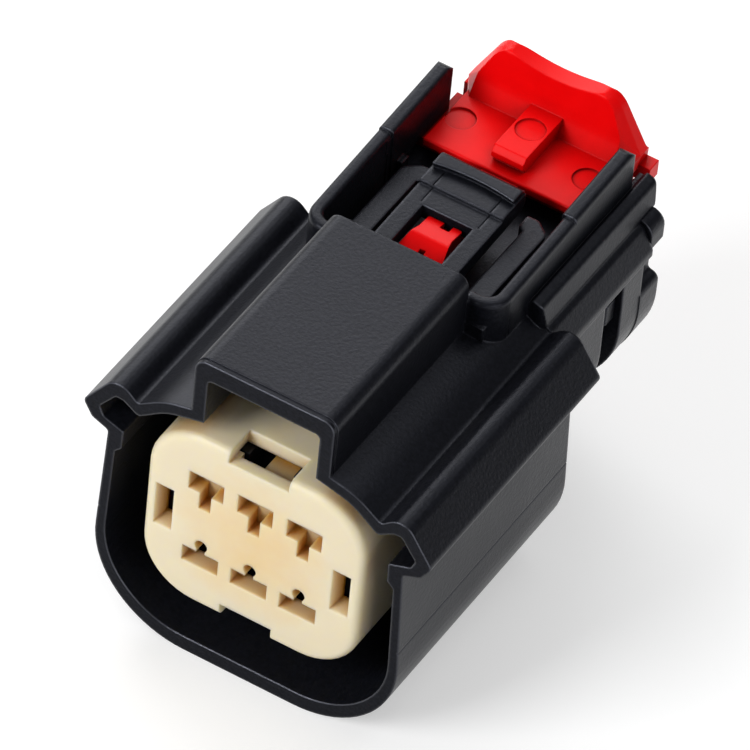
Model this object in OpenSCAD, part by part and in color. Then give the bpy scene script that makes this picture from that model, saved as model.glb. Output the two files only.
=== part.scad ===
// Sealed six-way automotive connector, socket half.
// X is across, +Y points to the wire side, +Z is up. The mating face looks to -Y.

/* [Terminals] */
// Distance between neighbouring terminal cavities of a row
pitch = 3.5; // [3.4:0.05:3.6]
// Height of the upper row of cavities
upper_row_z = 13.85; // [13.7:0.05:14]
// Height of the lower row of cavities
lower_row_z = 8.5; // [8.4:0.05:8.6]

/* [Shroud] */
// Width of the shroud below the rails
shroud_w = 22.3; // [22.2:0.05:22.4]
// Length of the shroud, from its rim to its rear wall
shroud_len = 20; // [19.5:0.1:20.5]
// Depth of the socket inside the shroud
socket_depth = 17; // [16.6:0.1:17.4]
// Thickness of the shroud floor
floor_t = 1.1; // [0.9:0.05:1.2]

/* [Latch cover] */
// Width of the arched cover over the latch
cover_w = 9.95; // [9.8:0.05:10.1]
// Height of the top of the cover
cover_top = 24.9; // [24.7:0.05:25]
// Length of the cover
cover_len = 15.5; // [15:0.1:15.6]
// Wall of the cover
cover_t = 1; // [0.8:0.05:1.1]

/* [Guard walls] */
// Width over the two guard walls
guard_w = 14.2; // [14.1:0.05:14.3]
// Height of the guard walls at the front
guard_front_z = 23.15; // [23:0.05:23.3]
// Height of the guard walls at the rear
guard_rear_z = 24; // [23.9:0.05:24.2]
// Where the guard walls end
guard_end = 32.3; // [32.1:0.05:32.4]

/* [Nose and front lock] */
// Width of the front lock
nose_w = 15.45; // [15.35:0.05:15.5]
// Height of the front lock
nose_h = 14.1; // [14:0.05:14.2]
// Height of the middle of the nose
nose_z = 11.15; // [11.1:0.05:11.2]
// Corner radius of the front lock
nose_r = 3.9; // [3.7:0.05:4]
// Distance of the front lock's face behind the rim
nose_face = 0.2; // [0.1:0.05:0.3]
// Travel of the front lock between open and locked
front_lock_travel = 1.2; // [1:0.1:1.4]

/* [Rear body] */
// Width of the rear body
body_w = 18.6; // [18.4:0.05:18.8]
// Height of the underside of the rear body
body_z = 5.75; // [5.7:0.05:5.8]
// Where the rear body ends
body_end = 31.2; // [31.1:0.05:31.3]
// Height of the floor between the guard walls
deck_z = 19.3; // [19.2:0.05:19.35]

/* [Latch] */
// Width of the latch arm
arm_w = 6; // [5.8:0.05:6.1]
// Thickness of the latch arm
arm_t = 1.05; // [0.9:0.05:1.1]
// Where the latch arm ends at the rear
arm_end = 25.75; // [25.7:0.05:25.8]

/* [Position lock] */
// Width of the wings of the position lock
wing_w = 11.1; // [11:0.05:11.3]
// Height of the top of the wings
wing_z = 21; // [20.95:0.05:21.05]
// Height of the thumb tab
tab_z = 25; // [24.8:0.05:25.1]
// Where the position lock ends at the rear
lock_end = 36.1; // [36:0.05:36.3]
// Travel of the position lock between open and locked
position_lock_travel = 1.5; // [1.3:0.05:1.5]

/* [Hidden] */
$fn = 48;

black = "#26272b";
ivory = "#ecdcb4";
red = "#e0161b";
seal_grey = "#7d8790";
cut = 1;
columns = [-pitch, 0, pitch];
rows = [upper_row_z, lower_row_z];

shroud_r = 6.9;
rail_end_z = 15.35;
web_z = 20.5;
parting_z = 8.65;

cap_wall = 0.85;
core_gap = 0.15;
core_w = nose_w - 2 * (cap_wall + core_gap);
core_h = nose_h - 2 * (cap_wall + core_gap);
core_r = nose_r - cap_wall - core_gap;
face_t = 1.3;
core_front = nose_face + face_t + 0.2;
skirt_end = 7.2;
collar_front = 7.6;
collar_inset = 0.15;
groove_front = 8.6;
groove_end = 12.4;
groove_depth = 0.75;
groove_w = nose_w - 2 * collar_inset - 2 * groove_depth;
groove_h = nose_h - 2 * collar_inset - 2 * groove_depth;
groove_r = nose_r - collar_inset - groove_depth;

cavity_w = 2.4;
cavity_h = 2.8;
body_r = 6.6;
lip_z = 16.75;
neck_front = 26;
neck_end = 30.6;
neck_inset = 1.2;
neck_w = body_w - 2 * neck_inset;
neck_z = body_z + 0.8;
neck_r = body_r - neck_inset;
pocket_w = 13;
pocket_low = 7.2;
pocket_high = 15.9;
pocket_front = 27;
skirt_front = 28.3;
cap_gap = 0.05;
cap_end = 32.8;

guard_t = 0.9;
guard_step = 24.8;
over_cap_z = deck_z - 0.05;
guard_in = guard_w / 2 - guard_t;
guard_rear_in = guard_in - 0.15;
guard_bend = 1.7;
guard_rise = 2.5;
wing_groove_high = 20.2;
wing_groove_x = 6.5;

hinge_y = 17.2;
hinge_z = 20.8;
strip_half = 0.5;
strip_in = 3.8;
strip_out = 5.2;
strip_root = 16.9;
strip_end = 25.55;
lock_low = deck_z + 0.1;
tongue_low = wing_z - 1.2;
tongue_z = wing_z - 0.5;
arm_front = 7;
arm_front_top = 22.2;
arm_rear_top = 22.55;
pad_front = 23;
window_w = 3.6;
window_front = 14.5;
window_end = 21.44;

// Points of an outline whose vertices are [x, y, radius], with each radius drawn as an arc
function rounded(p) = [
    for (i = [0:len(p) - 1])
        let (
            here = [p[i].x, p[i].y],
            before = p[(i + len(p) - 1) % len(p)],
            after = p[(i + 1) % len(p)],
            u = unit([before.x, before.y] - here),
            v = unit([after.x, after.y] - here),
            r = p[i].z
        )
        each r == 0 ? [here] : corner_arc(here, u, v, r, ceil(4 + 2 * r))
];
function unit(v) = v / norm(v);
function corner_arc(here, u, v, r, steps) =
    let (
        half = acos(u * v) / 2,
        centre = here + unit(u + v) * r / sin(half),
        from = here + u * r / tan(half) - centre,
        to = here + v * r / tan(half) - centre,
        turn = 180 - 2 * half
    )
    [for (k = [0:steps]) centre + (sin(turn * (1 - k / steps)) * from + sin(turn * k / steps) * to) / sin(turn)];

// The right half of an outline, from below to above, with its mirror image
function both_halves(p) = concat(p, [for (i = [len(p) - 1:-1:0]) [-p[i].x, p[i].y, p[i].z]]);

module outline(p) { polygon(rounded(p)); }
module symmetric(p) { polygon(rounded(both_halves(p))); }

// Range of the given half width on each side of a middle
function about(middle, half) = [middle - half, middle + half];

module along_y(from, to) {
    translate([0, to, 0]) rotate([90, 0, 0]) linear_extrude(to - from) children();
}
// Extrudes an outline drawn in Y and Z across the width w
module across(w) {
    translate([-w / 2, 0, 0]) rotate([90, 0, 90]) linear_extrude(w) children();
}
module block(x, y, z) {
    translate([x[0], y[0], z[0]]) cube([x[1] - x[0], y[1] - y[0], z[1] - z[0]]);
}
module both_sides() {
    children();
    mirror([1, 0, 0]) children();
}
// Rectangle with round corners, centred on x = 0 and on the height z
module rounded_box_section(w, h, z, r) {
    translate([0, z]) {
        square([w - 2 * r, h], center = true);
        square([w, h - 2 * r], center = true);
        for (sx = [-1, 1], sz = [-1, 1]) translate([sx * (w / 2 - r), sz * (h / 2 - r)]) circle(r);
    }
}

// --- housing ---------------------------------------------------------------------------------

function wall_x(z) = shroud_w / 2 + (10.5 - shroud_w / 2) * z / rail_end_z;
module shroud_section() {
    symmetric([
        [shroud_w / 2, 0, shroud_r],
        // parting line of the mould
        [wall_x(parting_z - 0.06), parting_z - 0.06, 0],
        [wall_x(parting_z) - 0.09, parting_z, 0],
        [wall_x(parting_z + 0.06), parting_z + 0.06, 0],
        [10.5, rail_end_z, 0.3],
        [11.7, 15.85, 0.5],
        [12.4, 16.95, 0.5],
        [10.19, 20.08, 1.1],
        [8.65, 18.7, 0.35],
        [6.8, 20, 5],
        [cover_w / 2 - 0.3, web_z, 0],
    ]);
}
module socket_section() {
    symmetric([
        [shroud_w / 2 - 0.75, floor_t, shroud_r - 0.8],
        [9.95, 13.85, 0.2],
        [9.5, 14.3, 0.1],
        [9.45, 15.75, 0.1],
        [10.95, 16.3, 0.3],
        [11.25, 17, 0.3],
        [10.15, 18.45, 0.3],
        [9.6, 18.4, 0.2],
        [8.5, 17.7, 0.4],
        [6.6, 19.15, 4],
        [cover_w / 2 - cover_t, 19.85, 0],
    ]);
}
module cover_section(inset = 0) {
    symmetric([[cover_w / 2 - inset, 19.5, 0], [cover_w / 2 - inset, cover_top - inset, 0.9 - inset]]);
}
module tunnel_section() {
    symmetric([[cover_w / 2 - cover_t, 19.5, 0], [cover_w / 2 - cover_t, cover_top - 1.45, 0.35]]);
}
module body_section() {
    symmetric([
        [body_w / 2, body_z, body_r],
        [body_w / 2 - 0.1, lip_z, 0],
        [body_w / 2 + 0.15, lip_z, 0.12],
        [body_w / 2 + 0.15, 17.4, 0.7],
        [8.65, 18.9, 0.6],
        [8, 19.2, 0],
        [guard_in - 0.1, 19.2, 0],
        [guard_in - 0.1, deck_z, 0],
    ]);
}
module neck_section() {
    symmetric([[neck_w / 2, neck_z, neck_r], [neck_w / 2, lip_z + 0.3, 0]]);
}

// Outline of the rear end of the guard walls, from above and from the side
module guard_end_plan() {
    outline([
        [4, cover_len - cut, 0],
        [guard_w / 2 + cut, cover_len - cut, 0],
        [guard_w / 2 + cut, guard_step, 0],
        [guard_w / 2, guard_step, 0],
        [guard_w / 2, guard_end, 0.5],
        [guard_rear_in, guard_end, 0.5],
        [guard_rear_in, guard_step, 0],
        [4, guard_step, 0],
    ]);
}
module guard_end_side() {
    outline([[14, 15, 0], [guard_end, 15, 0], [guard_end, guard_rear_z, 1.3], [14, guard_rear_z, 0]]);
}
// Section of a guard wall under its top edge, which is rounded on both sides
module guard_section(inside, outside, height) {
    outline([[inside, -height, 0], [outside, -height, 0], [outside, 0, 0.35], [inside, 0, 0.25]]);
}
// Straight stretch of a guard wall whose top rises towards the rear
module guard_run(from, to, z, inside) {
    translate([0, from, z]) rotate([guard_rise, 0, 0]) along_y(0, to - from) guard_section(inside, guard_w / 2, 6.3);
}
// Each guard wall starts at the side of the cover, turns a round corner and runs to the rear
module guard() {
    bend_x = guard_w / 2 - guard_bend;
    bend_y = cover_len - 0.05 + guard_bend;
    height = guard_front_z - deck_z + 2;
    translate([4.8, bend_y, guard_front_z]) rotate([90, 0, 90]) linear_extrude(bend_x - 4.8)
        mirror([1, 0, 0]) guard_section(guard_bend - guard_t, guard_bend, height);
    intersection() {
        translate([bend_x, bend_y, guard_front_z]) rotate_extrude()
            guard_section(guard_bend - guard_t, guard_bend, height);
        block([bend_x, guard_w], [0, bend_y], [0, 30]);
    }
    intersection() {
        union() {
            guard_run(bend_y - 0.05, guard_step, guard_front_z, guard_in);
            guard_run(guard_step, guard_end + 0.5, guard_rear_z - 0.33, guard_rear_in);
            block([guard_in - 0.05, guard_w / 2], [guard_step - 0.5, guard_step + 0.1], [deck_z - 1, guard_front_z]);
        }
        linear_extrude(40) guard_end_plan();
        across(40) guard_end_side();
    }
}
// Raised ledge along the foot of the guard wall, which runs on over the rear cap
module ledge() {
    intersection() {
        along_y(19, 34) outline([
            [guard_w / 2 - 0.3, 18.6, 0],
            [8.35, 18.6, 0],
            [8.35, 19.3, 0],
            [8.1, 20.85, 0.4],
            [guard_w / 2 + 0.25, 21.1, 0.15],
            [guard_w / 2, 20.8, 0],
            [guard_w / 2 - 0.3, 20.8, 0],
        ]);
        linear_extrude(30) outline([[5, 19.5, 0], [8.4, 19.5, 0.7], [8.4, 33.4, 0.7], [5, 33.4, 0]]);
    }
}
// Flexible strip that carries the latch arm, joined to the guard wall at its front
module strip() {
    translate([0, 0, hinge_z - strip_half]) linear_extrude(2 * strip_half) outline([
        [strip_in, cover_len - 0.1, 0],
        [guard_in + 0.1, cover_len - 0.1, 0],
        [guard_in + 0.1, strip_root, 0],
        [strip_out, strip_root, 0],
        [strip_out, strip_end - 0.8, 0.6],
        [strip_in + 0.4, strip_end, 0.4],
        [strip_in - 0.4, strip_end, 0.1],
        [strip_in - 0.4, strip_end - 1.1, 0.1],
        [strip_in, strip_end - 1.4, 0],
    ]);
}
module stop_block() {
    block([guard_in - 0.55, guard_in + 0.1], [25.6, 26.4], [deck_z - 0.2, wing_groove_high + 0.4]);
}

module nose_core() {
    along_y(core_front, socket_depth + cut) rounded_box_section(core_w, core_h, nose_z, core_r);
    difference() {
        along_y(collar_front, socket_depth + cut) rounded_box_section(
            nose_w - 2 * collar_inset, nose_h - 2 * collar_inset, nose_z, nose_r - collar_inset
        );
        difference() {
            along_y(groove_front, groove_end) square([40, 60], center = true);
            along_y(groove_front - cut, groove_end + cut) rounded_box_section(groove_w, groove_h, nose_z, groove_r);
        }
    }
}

module housing() {
    color(black) difference() {
        union() {
            difference() {
                union() {
                    along_y(0, shroud_len) shroud_section();
                    along_y(0.35, cover_len) cover_section();
                    along_y(0, 1) cover_section(0.07);
                }
                along_y(-cut, socket_depth) socket_section();
                along_y(-cut, socket_depth) tunnel_section();
            }
            difference() {
                along_y(shroud_len - 0.1, body_end) body_section();
                along_y(neck_front, body_end + cut) difference() {
                    translate([0, lip_z / 2]) square([40, lip_z], center = true);
                    neck_section();
                }
                block([-20, 20], [neck_end, body_end + cut], [0, lip_z]);
            }
            nose_core();
            difference() {
                both_sides() {
                    guard();
                    ledge();
                }
                block([-20, 20], [body_end, guard_end + 2], [0, over_cap_z]);
            }
            both_sides() lock_lug();
        }
        trough();
        terminal_cavities();
        seal_pocket();
        along_y(core_front - cut, core_front + 3.5) translate([0, core_top()]) square([3.2, 2.6], center = true);
    }
    color(black) both_sides() {
        strip();
        stop_block();
    }
}
function core_top() = nose_z + core_h / 2;
// Well between the guard walls, with the grooves that guide the position lock
module trough() {
    tunnel_in = cover_w / 2 - cover_t;
    block(about(0, tunnel_in), [cover_len + 0.9, body_end + cut], [deck_z, 22]);
    block(about(0, guard_rear_in), [socket_depth + 0.05, body_end + cut], [deck_z, 22]);
    block(about(0, guard_in), [socket_depth + 0.05, guard_step - 0.3], [deck_z, 22]);
    block(about(0, wing_groove_x), [26.6, body_end + cut], [deck_z, wing_groove_high]);
    block(about(0, wing_groove_x), [body_end, guard_end + 2], [0, wing_groove_high]);
}
module lock_lug() {
    translate([0, 0, 13.6]) linear_extrude(1.6) polygon([
        [neck_w / 2 - 0.2, neck_front + 0.2],
        [neck_w / 2 + 0.7, neck_front + 1.2],
        [neck_w / 2 + 0.7, skirt_front - 0.2],
        [neck_w / 2 - 0.2, skirt_front - 0.2],
    ]);
}
module terminal_cavities() {
    for (x = columns, z = rows)
        block(about(x, cavity_w / 2), [core_front - cut, pocket_front + cut], about(z, cavity_h / 2));
}
module seal_pocket() {
    along_y(pocket_front, neck_end + cut) pocket_section(0);
}
module pocket_section(inset) {
    rounded_box_section(
        pocket_w - 2 * inset, pocket_high - pocket_low - 2 * inset, (pocket_high + pocket_low) / 2, 2.6 - inset
    );
}

// --- latch arm -------------------------------------------------------------------------------

module arm_side() {
    outline([
        [arm_front, arm_front_top - 0.5, 0.2],
        [arm_front + 0.4, arm_front_top - 1.9, 0.1],
        [arm_front + 1, arm_front_top - 1.9, 0.1],
        [arm_front + 1.3, arm_front_top - arm_t, 0.2],
        [pad_front, arm_rear_top - arm_t, 0],
        [arm_end - 0.3, arm_rear_top - 0.9, 0.2],
        [arm_end, arm_rear_top - 0.5, 0.2],
        [arm_end, arm_rear_top + 0.25, 0],
        [pad_front, arm_rear_top + 0.25, 0.08],
        [pad_front, arm_rear_top, 0],
        [arm_front + 0.9, arm_front_top, 0.5],
    ]);
}
// Ridge across the pad, its front face hollowed by an arc and slightly undercut
module thumb_ridge() {
    ridge_z = arm_rear_top + 0.7;
    face_r = 14;
    difference() {
        across(arm_w - 0.2) outline([
            [pad_front + 0.8, arm_rear_top, 0],
            [arm_end, arm_rear_top, 0],
            [arm_end, ridge_z - 0.25, 0.15],
            [arm_end - 0.35, ridge_z, 0.2],
            [pad_front + 0.8, ridge_z, 0],
        ]);
        translate([0, arm_end - 1.15 - face_r, arm_rear_top + 0.25]) {
            cylinder(h = 2, r = face_r, $fn = 160);
            cylinder(h = 0.25, r = face_r + 0.15, $fn = 160);
        }
    }
}
module latch_arm() {
    color(black) difference() {
        union() {
            across(arm_w) arm_side();
            thumb_ridge();
            both_sides() {
                translate([arm_w / 2 - 1, hinge_y, hinge_z]) rotate([0, 90, 0])
                    cylinder(h = strip_in - arm_w / 2 + 0.98, r = strip_half);
                block([2.35, arm_w / 2], about(hinge_y, strip_half), [hinge_z, arm_rear_top - arm_t + 0.3]);
            }
        }
        block(about(0, window_w / 2), [window_front, window_end], [hinge_z - 2, arm_rear_top + cut]);
        for (x = [-2.05, 2.05]) {
            block(about(x, 0.05), [window_end + 0.2, pad_front], [arm_rear_top - 0.08, arm_rear_top + 0.1]);
            block(about(x, 0.05), [pad_front - cut, arm_end - 1.3], [arm_rear_top + 0.17, arm_rear_top + 0.3]);
        }
    }
}

// --- front lock ------------------------------------------------------------------------------

// Corner post of the front lock, with its front edge rounded by r
module lock_post(r) {
    translate([0, skirt_end, 0]) rotate([90, 0, 0]) rotate_extrude() outline([
        [0, 0, 0],
        [nose_r, 0, 0],
        [nose_r, skirt_end - nose_face, r],
        [0, skirt_end - nose_face, 0],
    ]);
}
module front_lock_shell() {
    hull() for (sx = [-1, 1], sz = [-1, 1])
        translate([sx * (nose_w / 2 - nose_r), 0, nose_z + sz * (nose_h / 2 - nose_r)]) lock_post(0.55, $fn = 40);
}
// Funnel through the face: a rectangle that narrows over the depth of its lead-in
module funnel(x, z, lead) {
    mouth = nose_face - 0.1;
    throat = nose_face + face_t * 0.8;
    block(x, [nose_face - cut, core_front + cut], z);
    intersection() {
        linear_extrude(40) polygon([[x[0] - lead, mouth], [x[1] + lead, mouth], [x[1], throat], [x[0], throat]]);
        across(40) polygon([[mouth, z[0] - lead], [mouth, z[1] + lead], [throat, z[1]], [throat, z[0]]]);
    }
}
module terminal_entries() {
    blind = nose_face + face_t - 0.15;
    for (x = columns) {
        // upper row: a blind bar over a blind stem, with a slot through along the top
        block(about(x, 1.25), [-cut, blind], [13.65, 15.1]);
        block(about(x, 0.42), [-cut, blind], [12.35, 14]);
        block(about(x, 1), [-cut, core_front + cut], [14.6, 15.1]);
        // lower row: a bar with a narrower opening through it, under a round hole
        block(about(x, 1.3), [-cut, nose_face + 0.95], [7.4, 8.65]);
        block(about(x, 0.8), [-cut, core_front + cut], [7.4, 8.65]);
        along_y(-cut, core_front + cut) translate([x, 9.2]) circle(0.45);
        block(about(x, 0.3), [-cut, core_front + cut], [8.5, 9.2]);
    }
}
module front_lock() {
    color(ivory) difference() {
        front_lock_shell();
        along_y(nose_face + face_t, skirt_end + cut)
            rounded_box_section(nose_w - 2 * cap_wall, nose_h - 2 * cap_wall, nose_z, nose_r - cap_wall);
        terminal_entries();
        both_sides() funnel([5.95, 6.7], [9.6, 12.5], 0.3);
        block([-1.85, 1.85], [-cut, 2.4], [0, nose_z - nose_h / 2 + 1.05]);
        // recess in the top edge, with a slot down to the core
        across(4.3) polygon([[-cut, 17.3], [2.4, 17.3], [2.75, 19], [-cut, 19]]);
        block([-1.8, 1.8], [1.1, 2.4], [core_top() - 1, 18]);
    }
    // web behind part of the slot, which runs in the notch of the core
    color(ivory) block([-0.5, 1.55], [nose_face + face_t - 0.1, core_front + 3], about(core_top() - 0.95, 0.2));
}

// --- seals -----------------------------------------------------------------------------------

module ring_seal() {
    seal_front = groove_front + 0.1;
    seal_end = groove_end - 0.1;
    lip = (seal_end - seal_front) / 5;
    color(seal_grey) difference() {
        union() {
            along_y(seal_front, seal_end) rounded_box_section(groove_w + 1.5, groove_h + 1.5, nose_z, groove_r + 0.75);
            for (k = [0, 2, 4]) along_y(seal_front + k * lip, seal_front + (k + 1) * lip)
                rounded_box_section(groove_w + 2.5, groove_h + 2.5, nose_z, groove_r + 1.25);
        }
        along_y(seal_front - cut, seal_end + cut) rounded_box_section(groove_w, groove_h, nose_z, groove_r);
    }
}
module wire_seal() {
    color(seal_grey) difference() {
        union() {
            along_y(pocket_front, neck_end) pocket_section(0.25);
            for (y = [pocket_front + 0.4, neck_end - 1]) along_y(y, y + 0.6) pocket_section(0);
        }
        for (x = columns, z = rows) translate([x, pocket_front - cut, z]) rotate([-90, 0, 0])
            cylinder(h = neck_end - pocket_front + 2 * cut, r = 0.85);
    }
}

// --- rear cap --------------------------------------------------------------------------------

module cap_plate_section() {
    symmetric([
        [body_w / 2, body_z, body_r],
        [body_w / 2, 13.9, 0.6],
        [body_w / 2 - 0.8, 14.1, 0.3],
        [body_w / 2 - 0.8, lip_z, 0.3],
        [body_w / 2 - 0.05, lip_z + 0.25, 0.3],
        [body_w / 2 - 0.05, deck_z - 0.1, 1],
    ]);
}
module rear_cap() {
    color(black) difference() {
        union() {
            along_y(body_end + cap_gap, cap_end) cap_plate_section();
            intersection() {
                along_y(neck_end, cap_end) cap_plate_section();
                block([-20, 20], [neck_end - cut, cap_end + cut], [0, lip_z - cap_gap]);
            }
            difference() {
                along_y(skirt_front, neck_end + 0.1)
                    symmetric([[body_w / 2, body_z, body_r], [body_w / 2 - 0.1, lip_z - cap_gap, 0]]);
                along_y(skirt_front - cut, neck_end) symmetric([
                    [neck_w / 2 + cap_gap, neck_z - cap_gap, neck_r], [neck_w / 2 + cap_gap, lip_z + cut, 0]
                ]);
            }
        }
        for (x = columns, z = rows) wire_opening(x, z);
        block(about(0, pitch + 1), [neck_end + 1, cap_end + cut], about((upper_row_z + lower_row_z) / 2, 0.25));
    }
}
// Square wire opening with a wider mouth
module wire_opening(x, z) {
    block(about(x, 1.15), [neck_end - cut, cap_end + cut], about(z, 1.15));
    block(about(x, 1.45), [cap_end - 0.9, cap_end + cut], about(z, 1.45));
}

// --- position lock ---------------------------------------------------------------------------

module tab_side() {
    outline([
        [32.8, wing_z - 0.5, 0],
        [32.8, wing_z, 0],
        [33.5, wing_z + 1.4, 3],
        [34, tab_z, 0.3],
        [35.1, tab_z, 0.35],
        [35.3, wing_z + 0.2, 0.5],
        [lock_end, wing_z - 0.7, 0.3],
        [lock_end, lock_low, 0.2],
        [32.8, lock_low, 0],
    ]);
}
// The thumb tab is narrower at its front, and its crest dips in the middle
module tab() {
    intersection() {
        across(14) tab_side();
        difference() {
            union() {
                hull() {
                    along_y(32.75, 32.8) symmetric([[5.3, lock_low, 0], [5.2, wing_z, 0], [3.8, tab_z + 0.1, 2]]);
                    along_y(34.5, 34.55) tab_rear_section();
                }
                along_y(34.5, lock_end + cut) tab_rear_section();
            }
            translate([0, 30, tab_z + 10.5]) rotate([-90, 0, 0]) cylinder(h = 8, r = 11, $fn = 180);
        }
    }
}
module tab_rear_section() {
    symmetric([[5.9, lock_low, 0], [5.95, 20.3, 0], [6.25, 21, 0], [4.05, tab_z + 0.1, 2]]);
}
module beak_plan() {
    outline([
        [-2.1, 16, 0.2], [2.1, 16, 0.2], [1.2, 20, 0.5], [1.2, 21.3, 0.15], [0.55, 21.3, 0], [0.55, 20.7, 0],
        [-0.1, 20.7, 0], [-0.1, 21.3, 0], [-1.2, 21.3, 0.15], [-1.2, 20, 0.5],
    ]);
}
module beak() {
    intersection() {
        translate([0, 0, tongue_low]) linear_extrude(4) beak_plan();
        across(10) outline([
            [16, tongue_low, 0.2], [21.5, tongue_low, 0], [21.5, 22, 0.2], [19.4, 22.3, 0.5], [17.2, 21.3, 0.3],
            [16, 21, 0.2],
        ]);
    }
}
// Tongue that joins the wings to the beak under the latch arm
module tongue() {
    intersection() {
        across(4) polygon([
            [20.5, tongue_low], [29.5, tongue_low], [29.5, wing_z], [28.7, wing_z], [26.8, tongue_z], [20.5, tongue_z],
        ]);
        linear_extrude(30) symmetric([[1.15, 20.4, 0], [1.15, 26, 0], [1.35, 27.5, 0], [1.15, 29.2, 0], [1.15, 29.6, 0]]);
    }
}
module ejector_mark(x, y, z) {
    translate([x, y, z - 0.15]) cylinder(h = 1, r = 1);
}
module position_lock() {
    block_z = wing_z + 1.2;
    color(red) difference() {
        union() {
            // wings, with flanges that run in the grooves of the guard walls
            across(wing_w) outline([
                [27.9, wing_z - 0.6, 0.1], [28.7, wing_z - 0.6, 0], [28.7, lock_low, 0.1], [33.5, lock_low, 0],
                [33.5, wing_z, 0], [27.9, wing_z, 0.15],
            ]);
            block(about(0, wing_groove_x - 0.1), [28.7, 33.5], [lock_low, wing_groove_high - 0.05]);
            tab();
            block([-6.75, 6.75], [35, lock_end], [18.5, 19.7]);
            tongue();
            across(2.3) outline([
                [28.95, wing_z - 0.3, 0], [34, wing_z - 0.3, 0], [34, block_z, 0], [29, block_z, 0.1],
                [28.65, block_z - 0.4, 0.1], [28.65, wing_z + 0.4, 0.1], [28.95, wing_z + 0.2, 0],
            ]);
            beak();
        }
        for (x = [-4.6, 4.6]) ejector_mark(x, 30.8, wing_z);
        ejector_mark(0, 31.4, block_z);
        block([-0.2, 0.2], [15.8, 18.6], [20.8, 23]);
    }
}

module placed() { translate([0, -lock_end / 2, 0]) children(); }

placed() housing();
placed() latch_arm();
placed() front_lock();
placed() ring_seal();
placed() wire_seal();
placed() rear_cap();
placed() position_lock();
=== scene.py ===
"""Sealed six-way automotive connector, socket half: materials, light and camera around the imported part."""

import math

import bmesh
import bpy
from mathutils import Matrix, Vector


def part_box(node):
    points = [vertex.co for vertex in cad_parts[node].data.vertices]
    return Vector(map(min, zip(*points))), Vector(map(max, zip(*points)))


MM = 0.001

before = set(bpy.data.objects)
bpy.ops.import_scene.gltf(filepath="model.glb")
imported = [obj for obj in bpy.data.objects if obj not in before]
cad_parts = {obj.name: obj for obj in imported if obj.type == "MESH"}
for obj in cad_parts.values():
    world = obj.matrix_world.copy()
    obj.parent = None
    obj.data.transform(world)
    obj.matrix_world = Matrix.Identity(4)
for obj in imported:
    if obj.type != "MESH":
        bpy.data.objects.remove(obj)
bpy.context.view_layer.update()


# --- Camera: a long lens, high in front and to the right -----------------------------------

AZIMUTH = 27.16
ELEVATION = 44.89
DISTANCE = 648.2 * MM
TILT = 6.17
LENS = 505.0
SENSOR = 36.0
TARGET = Vector((-1.3, -1.5, 12.0)) * MM
CLIP_START = 0.05
CLIP_END = 20.0


def place_camera():
    azimuth, elevation = math.radians(AZIMUTH), math.radians(ELEVATION)
    away = Vector((
        math.sin(azimuth) * math.cos(elevation),
        -math.cos(azimuth) * math.cos(elevation),
        math.sin(elevation),
    ))
    data = bpy.data.cameras.new("studio_camera")
    data.lens = LENS
    data.sensor_width = SENSOR
    data.clip_start = CLIP_START
    data.clip_end = CLIP_END
    camera = bpy.data.objects.new("studio_camera", data)
    turn = away.to_track_quat("Z", "Y").to_matrix().to_4x4()
    tilt = Matrix.Rotation(math.radians(TILT), 4, "Z")
    camera.matrix_world = Matrix.Translation(TARGET + away * DISTANCE) @ turn @ tilt
    bpy.context.scene.collection.objects.link(camera)
    bpy.context.scene.camera = camera


# --- Nodes that the materials share --------------------------------------------------------


def linear(code):
    """Linear colour of an sRGB hex code."""
    channels = [int(code[k:k + 2], 16) / 255 for k in (1, 3, 5)]
    return [c / 12.92 if c <= 0.04045 else ((c + 0.055) / 1.055) ** 2.4 for c in channels] + [1.0]


def add_node(material, kind, settings=None, **inputs):
    """Adds a node with its settings, and sets or links its inputs by name, or by number as in _0."""
    node = material.node_tree.nodes.new(kind)
    for name, value in (settings or {}).items():
        setattr(node, name, value)
    for name, value in inputs.items():
        socket = node.inputs[int(name[1:]) if name[0] == "_" else name.replace("_", " ")]
        if isinstance(value, bpy.types.NodeSocket):
            material.node_tree.links.new(value, socket)
        else:
            socket.default_value = value
    return node


def new_material(name):
    material = bpy.data.materials.new(name)
    material.use_nodes = True
    material.node_tree.nodes.clear()
    return material


def finish_material(material, shader):
    output = add_node(material, "ShaderNodeOutputMaterial")
    material.node_tree.links.new(shader.outputs[0], output.inputs["Surface"])
    return material


def place_on(material):
    """The place on the piece, in metres, which moves with the piece."""
    return add_node(material, "ShaderNodeTexCoord").outputs["Object"]


def noise(material, size, detail, roughness):
    """Noise with features of the given size."""
    return add_node(
        material, "ShaderNodeTexNoise",
        Vector=place_on(material), Scale=1 / size, Detail=detail, Roughness=roughness
    ).outputs["Fac"]


def remap(material, value, before, after):
    """Maps the range before to the range after, and clamps the value to it. An end may be a socket."""
    return add_node(
        material, "ShaderNodeMapRange",
        _0=value, From_Min=before[0], From_Max=before[1], To_Min=after[0], To_Max=after[1]
    ).outputs["Result"]


def arithmetic(material, operation, first, second):
    return add_node(material, "ShaderNodeMath", {"operation": operation}, _0=first, _1=second).outputs[0]


def ramp(material, factor, low, high, low_at=0.3, high_at=0.7):
    """Colour between two hex colours."""
    node = add_node(material, "ShaderNodeValToRGB", _0=factor)
    for element, place, code in zip(node.color_ramp.elements, (low_at, high_at), (low, high)):
        element.position = place
        element.color = linear(code)
    return node.outputs["Color"]


def open_air(material, reach):
    """1 where nothing stands within reach of the surface, and less in hollows."""
    return add_node(material, "ShaderNodeAmbientOcclusion", {"samples": 8}, Distance=reach).outputs["AO"]


def painted_hollow_shade(material, colour, tint, reach, full_shade_at, plain_at):
    """Painted shade: the colour, multiplied by a darker hex colour in hollows."""
    shade_filter = ramp(material, open_air(material, reach), tint, "#ffffff", full_shade_at, plain_at)
    return add_node(
        material, "ShaderNodeMix", {"data_type": "RGBA", "blend_type": "MULTIPLY"},
        _0=1.0, _6=colour, _7=shade_filter
    ).outputs[2]


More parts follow.
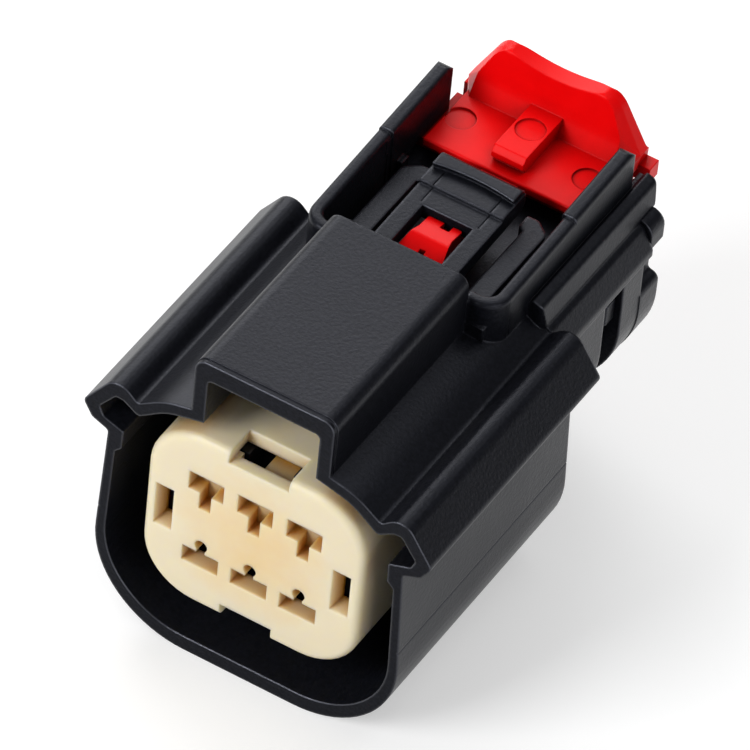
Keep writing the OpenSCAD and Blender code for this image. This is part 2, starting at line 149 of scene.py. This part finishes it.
def eased_edges(material, radius, samples=6):
    """Normals that turn over the edges, as on a moulding, whose edges have a small radius."""
    return add_node(material, "ShaderNodeBevel", {"samples": samples}, Radius=radius).outputs["Normal"]


def relief(material, height, strength, depth, normal):
    return add_node(
        material, "ShaderNodeBump", Strength=strength, Distance=depth, Height=height, Normal=normal
    ).outputs["Normal"]


# --- Materials -----------------------------------------------------------------------------


def painted_crest_highlight(material, edge):
    """Mask of a painted highlight: 1 on the crests of edges that stand free and look up, less on those that
    look down, 0 on faces.
    """
    face = add_node(material, "ShaderNodeNewGeometry").outputs["Normal"]
    level = add_node(
        material, "ShaderNodeVectorMath", {"operation": "DOT_PRODUCT"}, _0=edge, _1=face
    ).outputs["Value"]
    # An edge begins where its normal has turned by 8 degrees, and is all crest at 32
    crest = remap(material, level, (0.99, 0.85), (0.0, 1.0))
    # Inner corners turn as much, but have walls around them
    crest = remap(material, open_air(material, 1.2 * MM), (0.55, 0.9), (0.0, crest))
    # Crests that look up get the most painted highlight, as the lamps are above them
    upward = add_node(material, "ShaderNodeSeparateXYZ", _0=edge).outputs["Z"]
    return arithmetic(material, "MULTIPLY", crest, remap(material, upward, (-0.1, 0.4), (0.3, 1.0)))


def spark_eroded_black():
    """Glass-filled PBT polyester, moulded in a spark-eroded tool: charcoal, with a fine even grain that
    breaks the sheen into a soft satin. Faces that look forward get a lower sheen as painted shade, and the
    crests of free edges that look up get a painted highlight. The grain is 0.12 mm in reality and 0.24 mm
    here, so that it shows. The gloss varies over 7 mm."""
    material = new_material("spark_eroded_black_polyester")
    grain = noise(material, size=0.24 * MM, detail=3.0, roughness=0.65)
    flow = noise(material, size=7 * MM, detail=2.0, roughness=0.5)
    edge = eased_edges(material, radius=0.25 * MM, samples=8)
    facing = add_node(material, "ShaderNodeTexCoord").outputs["Normal"]
    rearward = add_node(material, "ShaderNodeSeparateXYZ", _0=facing).outputs["Y"]
    # Painted shade: faces that look forward get a lower sheen
    sheen = remap(material, rearward, (-0.97, -0.8), (0.06, 0.2))
    # Painted highlight: the sheen rises to 1.2 on the crests of free edges that look up
    sheen = remap(material, painted_crest_highlight(material, edge), (0.0, 1.0), (sheen, 1.2))
    shader = add_node(
        material, "ShaderNodeBsdfPrincipled",
        Base_Color=ramp(material, grain, "#0c0d11", "#16171d", 0.35, 0.7),
        Roughness=remap(material, flow, (0.3, 0.7), (0.31, 0.37)),
        Normal=relief(material, grain, strength=0.6, depth=0.04 * MM, normal=edge),
        IOR=1.5, Specular_IOR_Level=sheen, Specular_Tint=linear("#e9edff")
    )
    return finish_material(material, shader)


def ivory_polyester():
    """Unfilled PBT polyester in its natural ivory, moulded in a polished tool: smooth and slightly waxy.
    Light soaks into it a little. Its colour is painted warmer towards its middle, a painted glow for light
    through thicker plastic, and its narrow recesses get painted amber shade. Its clouds are 3 mm."""
    material = new_material("natural_ivory_polyester")
    cloud = noise(material, size=3 * MM, detail=3.0, roughness=0.55)
    low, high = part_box("front_lock")
    middle = [(a + b) / 2 for a, b in zip(low, high)]
    from_middle = add_node(
        material, "ShaderNodeVectorMath", {"operation": "DISTANCE"}, _0=place_on(material), _1=middle
    ).outputs["Value"]
    # Painted glow: the colour is warmer towards the middle, standing in for light through thicker plastic
    paleness = remap(material, from_middle, (3.5 * MM, 8.5 * MM), (-0.2, 0.8))
    paleness = arithmetic(material, "ADD", paleness, cloud)
    face = ramp(material, paleness, "#e6ca98", "#e6d9bb", 0.2, 1.0)
    edge = eased_edges(material, radius=0.25 * MM)
    shader = add_node(
        material, "ShaderNodeBsdfPrincipled",
        # Painted shade: amber in narrow recesses
        Base_Color=painted_hollow_shade(material, face, "#cb9a26", 2.6 * MM, full_shade_at=0.1, plain_at=0.75),
        Roughness=0.42, IOR=1.55,
        Normal=relief(material, cloud, strength=0.06, depth=0.02 * MM, normal=edge),
        Subsurface_Weight=0.7, Subsurface_Radius=(1.0, 0.95, 0.4), Subsurface_Scale=1.3 * MM
    )
    return finish_material(material, shader)


def red_polyester():
    """Red PBT polyester, moulded in a polished tool: strong colour and semi-gloss, with painted shade that
    makes it deeper in corners. Its clouds are 2.5 mm."""
    material = new_material("red_polyester")
    cloud = noise(material, size=2.5 * MM, detail=3.0, roughness=0.6)
    face = ramp(material, cloud, "#ec0306", "#f40609")
    edge = eased_edges(material, radius=0.12 * MM)
    shader = add_node(
        material, "ShaderNodeBsdfPrincipled",
        # Painted shade: darker red in corners and hollows
        Base_Color=painted_hollow_shade(material, face, "#6a0808", 3 * MM, full_shade_at=0.2, plain_at=0.88),
        Roughness=0.36, IOR=1.5, Specular_IOR_Level=0.22, Specular_Tint=linear("#ff9a9a"),
        Normal=relief(material, cloud, strength=0.08, depth=0.02 * MM, normal=edge),
        Subsurface_Weight=0.12, Subsurface_Radius=(1.0, 0.1, 0.05), Subsurface_Scale=0.5 * MM
    )
    return finish_material(material, shader)


def oiled_silicone():
    """Grey-blue silicone rubber with a film of oil: soft and matte under a faint sheen. Its clouds are
    1.5 mm."""
    material = new_material("oiled_silicone_rubber")
    cloud = noise(material, size=1.5 * MM, detail=3.0, roughness=0.6)
    shader = add_node(
        material, "ShaderNodeBsdfPrincipled",
        Base_Color=ramp(material, cloud, "#6f7a83", "#88939b"),
        Roughness=0.45, IOR=1.41, Subsurface_Weight=0.1, Subsurface_Scale=0.4 * MM
    )
    return finish_material(material, shader)


def dress_node(name, material):
    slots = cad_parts[name].data.materials
    if len(slots) == 0:
        slots.append(material)
    for k in range(len(slots)):
        slots[k] = material


# --- Studio --------------------------------------------------------------------------------

# The floor is a square of this half width, in metres, and lies this far below the part
FLOOR_HALF = 3.0
FLOOR_GAP = 0.02 * MM
# Strengths, where 1 is white
FLOOR_SHINE = 0.42
SKY = 0.15

# Each soft box looks at one point. Millimetres, and watts
LIGHT_AIM = Vector((0, 0, 12))
SOFT_BOXES = (
    {"name": "front_left", "place": (-202, -355, 262), "size": (220, 220), "power": 1.75},
    {"name": "rear_left", "place": (-278, 288, 262), "size": (420, 260), "power": 1.3},
    {"name": "overhead", "place": (20, 160, 460), "size": (420, 320), "power": 0.65},
    {"name": "right_fill", "place": (380, -180, 200), "size": (300, 300), "power": 0.6},
)


def seen_directly(material, amount):
    """The given amount for rays from the camera and for mirrored and transmitted ones, 0 for others."""
    path = add_node(material, "ShaderNodeLightPath").outputs
    seen = arithmetic(material, "MAXIMUM", path["Is Camera Ray"], path["Is Glossy Ray"])
    seen = arithmetic(material, "MAXIMUM", seen, path["Is Transmission Ray"])
    return arithmetic(material, "MULTIPLY", seen, amount)


def white_paper():
    """Matte paper that keeps the shadow, and that rays from the camera and mirrored ones see lighter."""
    material = new_material("white_paper")
    diffuse = add_node(material, "ShaderNodeBsdfDiffuse", Color=linear("#d4d4d4"))
    shine = add_node(
        material, "ShaderNodeEmission",
        Color=linear("#ffffff"), Strength=seen_directly(material, FLOOR_SHINE)
    )
    both = add_node(material, "ShaderNodeAddShader", _0=diffuse.outputs[0], _1=shine.outputs[0])
    return finish_material(material, both)


def pale_floor():
    sheet = bmesh.new()
    bmesh.ops.create_grid(sheet, x_segments=1, y_segments=1, size=FLOOR_HALF)
    data = bpy.data.meshes.new("floor")
    sheet.to_mesh(data)
    sheet.free()
    data.materials.append(white_paper())
    floor = bpy.data.objects.new("floor", data)
    floor.location.z = -FLOOR_GAP
    bpy.context.scene.collection.objects.link(floor)


def soft_box(name, place, size, power):
    data = bpy.data.lights.new(name, "AREA")
    data.shape = "RECTANGLE"
    data.size, data.size_y = size[0] * MM, size[1] * MM
    data.energy = power
    lamp = bpy.data.objects.new(name, data)
    turn = (Vector(place) - LIGHT_AIM).to_track_quat("Z", "Y").to_matrix().to_4x4()
    lamp.matrix_world = Matrix.Translation(Vector(place) * MM) @ turn
    bpy.context.scene.collection.objects.link(lamp)


def pale_sky():
    world = bpy.data.worlds.new("studio")
    world.use_nodes = True
    background = world.node_tree.nodes["Background"].inputs
    background["Color"].default_value = linear("#ffffff")
    background["Strength"].default_value = SKY
    bpy.context.scene.world = world


# --- Scene ---------------------------------------------------------------------------------

place_camera()
pale_floor()
pale_sky()
for box in SOFT_BOXES:
    soft_box(**box)

black = spark_eroded_black()
for node in ("housing", "latch_arm", "rear_cap"):
    dress_node(node, black)
dress_node("front_lock", ivory_polyester())
dress_node("position_lock", red_polyester())
silicone = oiled_silicone()
for node in ("ring_seal", "wire_seal"):
    dress_node(node, silicone)

bpy.context.scene.view_settings.view_transform = "Standard"
